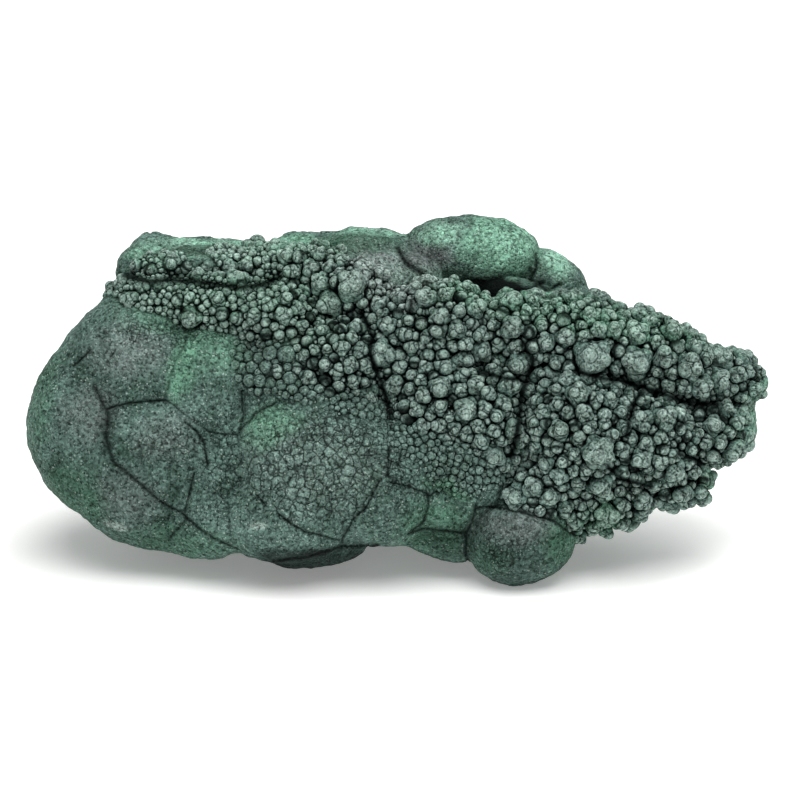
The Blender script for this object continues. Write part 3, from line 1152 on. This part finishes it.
# tints: across, up, half width, half height, turn, then strength of green, pale, grey, worn
tints = [
    (-46.5, 7.5, 2.4, 7.5, -12, 0.75, 0.3, 0.0, 0.0),
    (-47.0, 17.5, 14.0, 4.0, 0, 0.4, 0.0, 0.0, 0.0),
    (-40.0, 11.0, 7.0, 6.0, 0, 0.4, 0.20, 0.0, 0.0),
    (-18.0, -14.0, 15.0, 10.0, 0, 0.0, 0.0, 0.0, 0.2),
    (-27.5, -5.5, 6.5, 4.0, 20, 0.7, 0.35, 0.0, 0.0),
    (-70.5, -21.5, 9.0, 8.0, -45, 0.45, 0.0, 0.0, 0.0),
    (-77.0, 0.0, 3.0, 14.0, -12, 0.35, 0.0, 0.0, 0.0),
    (-50.0, -31.0, 16.0, 4.0, 0, 0.35, 0.0, 0.0, 0.0),
    (7.5, -28.0, 8.0, 7.0, 0, 0.5, 0.0, 0.0, 0.0),
    (10.0, -19.0, 5.0, 2.0, -20, 0.8, 0.0, 0.0, 0.0),
    (35.0, -31.0, 5.0, 6.0, 0, 0.55, 0.0, 0.0, 0.0),
    (19.0, -34.5, 4.0, 3.0, 0, 0.4, 0.0, 0.0, 0.0),
    (32.0, 19.5, 34.0, 4.0, -12, 0.75, 0.6, 0.0, 0.0),
    (-19.0, 15.0, 8.0, 6.0, 0, 0.4, 0.0, 0.0, 0.0),
    (22.0, 33.0, 9.0, 6.5, 0, 0.9, 0.85, 0.0, 0.0),
    (-61.2, -26.9, 2.6, 1.2, -25, 0.0, 0.0, 0.0, 1.0),
    (-29.6, -27.3, 1.8, 0.8, 10, 0.0, 0.0, 0.0, 0.9),
    (-35.0, 23.0, 24.0, 6.0, 0, 0.45, 0.4, 0.0, 0.0),
    (-24.0, 34.0, 9.0, 1.8, 4, 0.7, 0.6, 0.0, 0.0),
    (-9.0, 33.5, 9.0, 2.6, 0, 0.7, 0.2, 0.0, 0.0),
    (-53.0, 30.2, 5.5, 2.2, -10, 0.4, 0.95, 0.0, 0.0),
    (-45.0, 34.2, 5.0, 1.0, -5, 0.3, 1.0, 0.0, 0.0),
    (-36.0, 32.0, 20.0, 2.6, -4, 0.2, 0.95, 0.2, 0.0),
    (43.5, -25.0, 4.5, 4.0, 0, 0.7, 0.0, 0.0, 0.0),
    (78.0, -1.0, 4.0, 9.0, -32, 0.3, 0.5, 0.0, 0.0),
    (67.0, -17.0, 2.0, 3.0, 0, 0.2, 0.8, 0.0, 0.0),
    (-6.0, 36.6, 8.0, 1.0, 0, 0.2, 0.8, 0.0, 0.0),
    (8.5, 36.0, 6.0, 2.5, 10, 0.0, 0.8, 0.4, 0.0),
    (33.5, 29.0, 3.5, 3.5, -40, 0.0, 0.95, 0.6, 0.0),
    (-40.5, 32.4, 11.0, 1.3, -7, 0.0, 0.0, 1.0, 0.0),
    (-2.5, 27.0, 10.0, 5.5, -25, 0.0, 0.0, 0.9, 0.0),
    (24.5, -27.0, 8.0, 4.0, 0, 0.0, 0.0, 0.6, 0.0),
    (6.0, 30.0, 5.5, 6.0, 0, 0.0, 0.0, 1.0, 0.0),
    (-58.0, 10.5, 8.0, 6.0, 0, 0.0, 0.0, 0.5, 0.0),
    (-66.0, -3.0, 5.5, 6.0, 0, 0.0, 0.0, 0.5, 0.0),
    (-50.0, -8.0, 7.0, 5.0, 0, 0.0, 0.0, 0.35, 0.0),
    (-58.0, -21.0, 7.0, 5.0, -30, 0.0, 0.0, 0.4, 0.0),
    (21.3, 34.4, 3.8, 0.8, -14, 0.0, 1.0, 0.0, 0.0),
]
tintDepth = 42.0  # mm into the specimen that the tints of its face reach


def tintAt(points):
    # strengths of green, pale, grey and worn at face points, one row each
    drift = np.column_stack([noiseAt(points, 5.0, 20.0 * axis) for axis in (1, 2)])
    reach = np.clip((tintDepth - points[:, 2]) / 6.0, 0, 1)
    amount = np.zeros((len(points), 4))
    for across, up, halfWidth, halfHeight, turn, *strengths in tints:
        turnCos = math.cos(math.radians(turn))
        turnSin = math.sin(math.radians(turn))
        dx = points[:, 0] - across + 1.8 * drift[:, 0]
        dy = points[:, 1] - up + 1.8 * drift[:, 1]
        u = (dx * turnCos + dy * turnSin) / halfWidth
        v = (dy * turnCos - dx * turnSin) / halfHeight
        here = np.clip(1.6 - 1.2 * np.sqrt(u * u + v * v), 0, 1) * reach
        amount = np.maximum(amount, here[:, None] * np.array(strengths))
    return amount


# patches of packed cobbles and of finer grit: across, up, half width, half height, strength
cobbleFields = [
    (-18.0, -15.0, 17.0, 11.0, 1.0), (-50.0, -9.5, 8.5, 5.0, 0.7), (-37.0, -13.0, 5.0, 8.0, 0.9),
    (-2.0, -20.0, 8.0, 7.0, 0.6),
]
gritFields = [
    (-40.0, -5.0, 90.0, 60.0, 0.22), (-61.0, 1.5, 5.0, 4.0, 0.6), (-40.0, -21.0, 6.0, 6.0, 0.6),
    (-39.0, -4.0, 6.0, 3.0, 0.6), (-8.0, -5.0, 13.0, 6.0, 0.9), (3.0, -11.0, 10.0, 9.0, 0.9),
    (-48.0, 14.5, 15.0, 3.0, 0.9), (-27.0, 3.0, 9.0, 7.0, 0.8), (15.0, -13.0, 9.0, 9.0, 0.8),
    (22.0, -32.0, 5.0, 3.5, 0.9),
]


# parts of the front that stay darker, in the same terms
dimFields = [
    (-72.0, -20.0, 8.0, 10.0, 0.22), (-60.0, -28.0, 15.0, 5.0, 0.25), (-18.0, -34.5, 14.0, 3.0, 0.72),
    (26.0, -31.0, 11.0, 8.0, 0.34), (24.0, -36.5, 6.0, 3.0, 0.40), (-66.0, -2.0, 7.0, 17.0, 0.20),
    (-62.7, -5.0, 2.4, 9.0, 0.42), (12.0, -30.5, 8.0, 4.0, 0.45), (-56.0, -19.0, 12.0, 7.0, 0.18),
    (-40.5, 32.4, 11.0, 1.4, 0.60), (-9.0, 33.5, 9.0, 2.6, 0.38), (-66.0, -18.0, 6.0, 6.0, 0.25),
    (20.0, 24.2, 7.5, 3.0, 0.99), (22.0, -33.0, 3.2, 2.6, 0.55),
    (18.0, 26.3, 13.0, 2.2, 0.40), (5.0, 30.0, 5.0, 6.0, 0.38), (30.0, 26.0, 3.0, 4.0, 0.40),
]


def roughAt(points, fields):
    # strength of a list of rough patches at face points
    drift = noiseAt(points, 4.0, 90.0)
    strength = np.zeros(len(points))
    for across, up, halfWidth, halfHeight, most in fields:
        off = np.hypot((points[:, 0] - across) / halfWidth, (points[:, 1] - up) / halfHeight)
        strength = np.maximum(strength, most * np.clip((1.25 - off + 0.4 * drift) / 0.5, 0, 1))
    return strength * np.clip((42.0 - points[:, 2]) / 4.0, 0, 1)


velvet = {
    "plain": "#637d75",    # grey-green of the needle tips
    "deep": "#364d43",     # where the nap lies the other way
    "green": "#437056",
    "pale": "#86b49d",
    "grey": "#7e8886",
    "worn": "#a3b6ae",     # rubbed tips of the beads
    "hollow": "#020504",   # between beads and in cracks
    "fleck": "#c8dcd2",
    "roughness": 0.60,
    "ior": 1.66,           # malachite is 1.65 to 1.91
    "sheen": 0.0,
    "specular": 0.03,
    "grainWidth": 0.46,    # mm
    "grainHeight": 0.30,   # mm
    "cobble": 2.1,         # mm across one cobble
    "grit": 1.25,          # mm
    "cobbleHeight": 0.28,  # of the width
}


def velvetMalachite():
    # malachite grown as botryoidal crust: the ends of hair-fine needles give a matt, velvety
    # grey-green that is near black in the hollows and greener where the nap is rubbed
    material = bpy.data.materials.new("velvetMalachite")
    material.use_nodes = True
    tree = material.node_tree
    tree.nodes.clear()
    places = addNode(tree, "ShaderNodeTexCoord").outputs["Object"]
    inMm = addNode(tree, "ShaderNodeVectorMath", {"operation": "SCALE"},
                   {0: places, "Scale": 1 / mm}).outputs[0]
    tint = addNode(tree, "ShaderNodeAttribute", {"attribute_name": "tint"})
    channels = addNode(tree, "ShaderNodeSeparateColor", {}, {0: tint.outputs["Color"]}).outputs
    room = addNode(tree, "ShaderNodeAttribute", {"attribute_name": "room"}).outputs["Fac"]

    broad = addNode(tree, "ShaderNodeTexNoise", {}, {
        "Vector": inMm, "Scale": 0.11, "Detail": 4.0, "Roughness": 0.6}).outputs[0]
    patch = addNode(tree, "ShaderNodeTexNoise", {}, {
        "Vector": inMm, "Scale": 0.5, "Detail": 6.0, "Roughness": 0.72}).outputs[0]
    nap = addNode(tree, "ShaderNodeMath", {"operation": "ADD"}, {0: broad, 1: patch}).outputs[0]
    napShare = addNode(tree, "ShaderNodeMapRange", {}, {
        "Value": nap, "From Min": 0.75, "From Max": 1.2}).outputs[0]
    colour = addNode(tree, "ShaderNodeMix", {"data_type": "RGBA"}, {
        0: napShare, 6: linear(velvet["deep"]), 7: linear(velvet["plain"])}).outputs[2]

    # the tints are broken up by the same patches before they are laid over
    ragged = addNode(tree, "ShaderNodeMapRange", {}, {
        "Value": patch, "From Min": 0.3, "From Max": 0.7, "To Min": 0.3,
        "To Max": 1.5}).outputs[0]
    for strength, name in ((channels[0], "green"), (channels[2], "grey"), (channels[1], "pale"),
                           (tint.outputs["Alpha"], "worn")):
        share = addNode(tree, "ShaderNodeMath", {"operation": "MULTIPLY", "use_clamp": True},
                        {0: strength, 1: ragged}).outputs[0]
        colour = addNode(tree, "ShaderNodeMix", {"data_type": "RGBA"}, {
            0: share, 6: colour, 7: linear(velvet[name])}).outputs[2]

    grain = addNode(tree, "ShaderNodeTexVoronoi", {}, {
        "Vector": inMm, "Scale": 1 / velvet["grainWidth"], "Randomness": 1.0})
    fine = addNode(tree, "ShaderNodeTexNoise", {}, {
        "Vector": inMm, "Scale": 1.6, "Detail": 4.0, "Roughness": 0.8}).outputs[0]
    speckle = addNode(tree, "ShaderNodeSeparateColor", {}, {0: grain.outputs["Color"]}).outputs[0]
    mixed = addNode(tree, "ShaderNodeMath", {"operation": "MULTIPLY_ADD"}, {
        0: speckle, 1: 0.35, 2: fine}).outputs[0]
    mottle = addNode(tree, "ShaderNodeMapRange", {}, {
        "Value": mixed, "From Min": 0.42, "From Max": 0.93, "To Min": 0.15, "To Max": 1.95}).outputs[0]
    colour = addNode(tree, "ShaderNodeMix", {"data_type": "RGBA", "blend_type": "MULTIPLY"}, {
        0: 1.0, 6: colour, 7: mottle}).outputs[2]
    sparkle = addNode(tree, "ShaderNodeTexVoronoi", {}, {"Vector": inMm, "Scale": 3.4})
    toss = addNode(tree, "ShaderNodeSeparateColor", {}, {0: sparkle.outputs["Color"]}).outputs[0]
    flecks = addNode(tree, "ShaderNodeMapRange", {}, {
        "Value": toss, "From Min": 0.955, "From Max": 1.0, "To Max": 0.6}).outputs[0]
    colour = addNode(tree, "ShaderNodeMix", {"data_type": "RGBA"}, {
        0: flecks, 6: colour, 7: linear(velvet["fleck"])}).outputs[2]
    colour = addNode(tree, "ShaderNodeMix", {"data_type": "RGBA"}, {
        0: room, 6: linear(velvet["hollow"]), 7: colour}).outputs[2]

    relief = addNode(tree, "ShaderNodeMath", {"operation": "MULTIPLY_ADD"}, {
        0: grain.outputs["Distance"], 1: -0.8, 2: fine}).outputs[0]
    relief = addNode(tree, "ShaderNodeMath", {"operation": "MULTIPLY"}, {
        0: relief, 1: velvet["grainHeight"]}).outputs[0]

    # packed cells with thin dark creases, where the two attributes ask for them
    warp = addNode(tree, "ShaderNodeTexNoise", {}, {
        "Vector": inMm, "Scale": 0.7, "Detail": 2.0}).outputs["Color"]
    bent = addNode(tree, "ShaderNodeVectorMath", {"operation": "MULTIPLY_ADD"}, {
        0: warp, 1: (1.2, 1.2, 1.2), 2: inMm}).outputs[0]
    for size, name in ((velvet["cobble"], "cobbled"), (velvet["grit"], "gritted")):
        strength = addNode(tree, "ShaderNodeAttribute", {"attribute_name": name}).outputs["Fac"]
        edge = addNode(tree, "ShaderNodeTexVoronoi", {"feature": "DISTANCE_TO_EDGE"}, {
            "Vector": bent, "Scale": 1 / size}).outputs["Distance"]
        dome = addNode(tree, "ShaderNodeMapRange", {}, {
            "Value": edge, "From Max": 0.34}).outputs[0]
        dome = addNode(tree, "ShaderNodeMath", {"operation": "POWER"}, {0: dome, 1: 0.6}).outputs[0]
        dome = addNode(tree, "ShaderNodeMath", {"operation": "MULTIPLY"}, {
            0: dome, 1: strength}).outputs[0]
        relief = addNode(tree, "ShaderNodeMath", {"operation": "MULTIPLY_ADD"}, {
            0: dome, 1: velvet["cobbleHeight"] * size, 2: relief}).outputs[0]
        crease = addNode(tree, "ShaderNodeMapRange", {}, {
            "Value": edge, "From Max": 0.12, "To Min": 0.8, "To Max": 0.0}).outputs[0]
        crease = addNode(tree, "ShaderNodeMath", {"operation": "MULTIPLY"}, {
            0: crease, 1: strength}).outputs[0]
        colour = addNode(tree, "ShaderNodeMix", {"data_type": "RGBA"}, {
            0: crease, 6: colour, 7: linear(velvet["hollow"])}).outputs[2]
    bump = addNode(tree, "ShaderNodeBump", {}, {
        "Height": relief, "Strength": 1.0, "Distance": mm}).outputs[0]
    shader = addNode(tree, "ShaderNodeBsdfPrincipled", {}, {
        "Base Color": colour, "Normal": bump, "Roughness": velvet["roughness"],
        "IOR": velvet["ior"], "Specular IOR Level": velvet["specular"],
        "Sheen Weight": velvet["sheen"], "Sheen Roughness": 0.5})
    addNode(tree, "ShaderNodeOutputMaterial", {}, {"Surface": shader.outputs[0]})
    return material


broken = {
    "dark": "#17493a",
    "mid": "#3f8a6b",
    "light": "#9bd0b8",
    "roughness": 0.45,
    "ior": 1.66,
    "bandWidth": 1.6,   # mm
}


def brokenMalachite():
    # malachite broken across its layers: silky growth bands from pale to dark green that follow
    # the rounded lobes, over splintery chips
    material = bpy.data.materials.new("brokenMalachite")
    material.use_nodes = True
    tree = material.node_tree
    tree.nodes.clear()
    places = addNode(tree, "ShaderNodeTexCoord").outputs["Object"]
    inMm = addNode(tree, "ShaderNodeVectorMath", {"operation": "SCALE"},
                   {0: places, "Scale": 1 / mm}).outputs[0]
    inside = addNode(tree, "ShaderNodeAttribute", {"attribute_name": "inside"}).outputs["Fac"]
    wander = addNode(tree, "ShaderNodeTexNoise", {}, {
        "Vector": inMm, "Scale": 0.25, "Detail": 3.0}).outputs[0]
    depth = addNode(tree, "ShaderNodeMath", {"operation": "MULTIPLY_ADD"}, {
        0: wander, 1: 2.0, 2: inside}).outputs[0]
    bands = addNode(tree, "ShaderNodeTexNoise", {"noise_dimensions": "1D"}, {
        "W": depth, "Scale": 1 / broken["bandWidth"], "Detail": 3.0, "Roughness": 0.6}).outputs[0]
    ramp = addNode(tree, "ShaderNodeValToRGB", {}, {"Fac": bands})
    stops = ramp.color_ramp.elements
    stops[0].position = 0.36
    stops[0].color = linear(broken["dark"])
    stops[1].position = 0.66
    stops[1].color = linear(broken["light"])
    middle = stops.new(0.5)
    middle.color = linear(broken["mid"])
    splinter = addNode(tree, "ShaderNodeTexNoise", {}, {
        "Vector": inMm, "Scale": 1.6, "Detail": 5.0, "Roughness": 0.7}).outputs[0]
    mottle = addNode(tree, "ShaderNodeMapRange", {}, {
        "Value": splinter, "From Min": 0.3, "From Max": 0.7, "To Min": 0.75,
        "To Max": 1.2}).outputs[0]
    colour = addNode(tree, "ShaderNodeMix", {"data_type": "RGBA", "blend_type": "MULTIPLY"}, {
        0: 1.0, 6: ramp.outputs[0], 7: mottle}).outputs[2]
    bump = addNode(tree, "ShaderNodeBump", {}, {
        "Height": splinter, "Strength": 1.0, "Distance": 0.25 * mm}).outputs[0]
    shader = addNode(tree, "ShaderNodeBsdfPrincipled", {}, {
        "Base Color": colour, "Normal": bump, "Roughness": broken["roughness"],
        "IOR": broken["ior"]})
    addNode(tree, "ShaderNodeOutputMaterial", {}, {"Surface": shader.outputs[0]})
    return material


studio = {
    "floor": "#fbfbfa",
    "floorGlow": 0.22,     # lightens the shadow, as a lit paper sweep does
    "world": 0.34,
    "keyPower": 23.0,      # W
    "keySize": 1.3,        # m
    "distance": 1.5,       # m from the camera to the specimen
    "frameWidth": 0.1718,  # m across the picture at the specimen
}


def makeStudio():
    # pale floor, soft overhead light and the camera in front, looking down on the leaning face
    mesh = bpy.data.meshes.new("floor")
    half = 12.0
    mesh.from_pydata([(-half, -half, 0), (half, -half, 0), (half, half, 0), (-half, half, 0)],
                     [], [(0, 1, 2, 3)])
    floor = linkMesh("floor", mesh)
    paper = bpy.data.materials.new("paperBackdrop")
    paper.use_nodes = True
    shader = paper.node_tree.nodes["Principled BSDF"]
    shader.inputs["Base Color"].default_value = linear(studio["floor"])
    shader.inputs["Roughness"].default_value = 0.9
    shader.inputs["Emission Color"].default_value = linear(studio["floor"])
    shader.inputs["Emission Strength"].default_value = studio["floorGlow"]
    mesh.materials.append(paper)

    world = bpy.data.worlds.new("studio")
    world.use_nodes = True
    world.node_tree.nodes["Background"].inputs["Color"].default_value = (1, 1, 1, 1)
    world.node_tree.nodes["Background"].inputs["Strength"].default_value = studio["world"]
    bpy.context.scene.world = world
    middle = toWorld([(0.0, 0.0, 18.0)])[0]
    lamps = [
        ("keyLamp", (0.1, -0.45, 1.45), studio["keyPower"], studio["keySize"]),
        ("rimLamp", (0.6, 0.6, 1.3), studio["keyPower"] * 0.35, 1.0),
    ]
    for name, place, power, size in lamps:
        lamp = bpy.data.lights.new(name, "AREA")
        lamp.shape = "SQUARE"
        lamp.size = size
        lamp.energy = power
        stand = bpy.data.objects.new(name, lamp)
        stand.location = place
        aim = Vector(middle) - Vector(place)
        stand.rotation_euler = aim.to_track_quat("-Z", "Y").to_euler()
        bpy.context.scene.collection.objects.link(stand)

    lens = bpy.data.cameras.new("camera")
    lens.sensor_width = 36.0
    lens.lens = 36.0 * studio["distance"] / studio["frameWidth"]
    lens.clip_start = 0.05
    lens.clip_end = 60.0
    camera = bpy.data.objects.new("camera", lens)
    lean = math.radians(face["lean"])
    ahead = Vector((0.0, math.cos(lean), -math.sin(lean)))
    camera.location = Vector(middle) - ahead * studio["distance"]
    camera.rotation_euler = ahead.to_track_quat("-Z", "Y").to_euler()
    bpy.context.scene.collection.objects.link(camera)
    bpy.context.scene.camera = camera
    bpy.context.scene.view_settings.view_transform = "Standard"
    return floor


velvetFinish = velvetMalachite()
brokenFinish = brokenMalachite()
malachiteMass = makeMass(velvetFinish, brokenFinish)
print("mass fused:", triangleCount(malachiteMass.data), "triangles")
ground = BVHTree.FromPolygons([v.co for v in malachiteMass.data.vertices],
                              [p.vertices for p in malachiteMass.data.polygons])
grown, fillers, grains = crustBalls(ground)
print("crust laid out:", len(grown), "heads and beads,", len(fillers), "fillers,",
      len(grains), "grains")

headBall = ballShape("headBall", 36, tuple(range(5, 96, 5)) + (103, 113, 130))
budBall = ballShape("budBall", 24, (8, 16, 24, 32, 41, 50, 59, 69, 80, 92, 106, 125))
knobBall = ballShape("knobBall", 18, (11, 22, 34, 46, 58, 70, 83, 100, 125))
beadBall = ballShape("beadBall", 12, (25, 52, 80, 112))
smallBall = ballShape("smallBall", 8, (35, 72, 112))
tree = beadTree()
rng = np.random.default_rng(crust["seed"])
everyBall = np.concatenate((grown, fillers, grains))
kinds = np.repeat((0, 1, 2), (len(grown), len(fillers), len(grains)))
radii = everyBall[:, 3]
smallest = crust["smallestHead"]
groups = [
    ("crustHeads", headBall, 0.0, (kinds == 0) & (radii >= 2.9)),
    ("crustBuds", budBall, 0.0, (kinds == 0) & (radii < 2.9) & (radii >= 1.8)),
    ("crustKnobs", knobBall, 0.0, (kinds == 0) & (radii < 1.8) & (radii >= smallest)),
    ("crustBeads", beadBall, crust["lumps"], (kinds == 0) & (radii < smallest)),
    ("crustFillers", smallBall, crust["lumps"], kinds == 1),
    ("crustGrains", beadBall, crust["lumps"], kinds == 2),
]
pieces = []
for name, shape, lumps, chosen in groups:
    picked = np.flatnonzero(chosen)
    perBall = len(shape.data.vertices)
    piece = growBeads(name, everyBall[picked], shape, lumps, tree, velvetFinish)
    owners = np.repeat(picked, perBall)
    creases = np.ones(len(owners))
    if lumps == 0:
        creases = bulge(piece, everyBall[picked], perBall, rng)
    places = toFace(vertexArray(piece.data))
    room = roomAround(places, owners, everyBall)
    _, gaps, _ = nearestLobes(places, 1)
    crusted = kinds[owners] < 2
    height = gaps[:, 0] + np.where(crusted, sunkAt(places), 0.3)
    size = np.clip(everyBall[owners, 3], 0.5, 1.6)
    shade = np.clip(np.minimum(room, height) / (0.09 + 0.14 * size), 0, 1)
    shade *= np.where(crusted, np.clip(0.15 + height / (0.95 * size), 0, 1), 1)
    shade *= 1 - 0.85 * np.exp(-(creases / 0.14) ** 2)
    shade = shade ** 2 * (3 - 2 * shade) * (1 - 0.96 * np.exp(-(fromGaps(places) / 1.25) ** 2))
    addAttribute(piece.data, "room", shade)
    tint = tintAt(places)
    tint[:, 1] *= 0.5
    away = places - everyBall[owners, :3]
    away /= np.linalg.norm(away, axis=1)[:, None]
    facing = (away * everyBall[owners, 4:7]).sum(axis=1)
    tint[:, 3] = np.where(crusted, np.clip((facing - 0.2) / 0.7, 0, 1) * 0.5, 0.1) * shade
    addAttribute(piece.data, "tint", tint)
    pieces.append(piece)
    print(name, len(picked), "balls,", triangleCount(piece.data), "triangles")
for shape in (headBall, budBall, knobBall, beadBall, smallBall):
    dropObject(shape)

places = toFace(vertexArray(malachiteMass.data))
level, _, crack, fromCrack, beaded, ridged = blendedLobes(places + driftAt(places))
dark = mass["seamCracks"] * crack * np.exp(-(fromCrack / (1.2 * mass["crackWidth"])) ** 2)
dark = np.maximum(dark, crackAt(places)[1])
room = np.clip(roomAtGround(places, everyBall) / 0.4 + 0.35, 0, 1)
room = room * (1 - 0.97 * dark) * (1 - 0.95 * beaded) * (1 - roughAt(places, dimFields))
addAttribute(malachiteMass.data, "room", room)
addAttribute(malachiteMass.data, "tint", tintAt(places))
addAttribute(malachiteMass.data, "inside", -level)
for name, fields in (("cobbled", cobbleFields), ("gritted", gritFields)):
    addAttribute(malachiteMass.data, name, roughAt(places, fields))
print("finish laid on")

floor = makeStudio()
for piece in [malachiteMass] + pieces:
    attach(piece, "root")
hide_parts("malachite_mass")

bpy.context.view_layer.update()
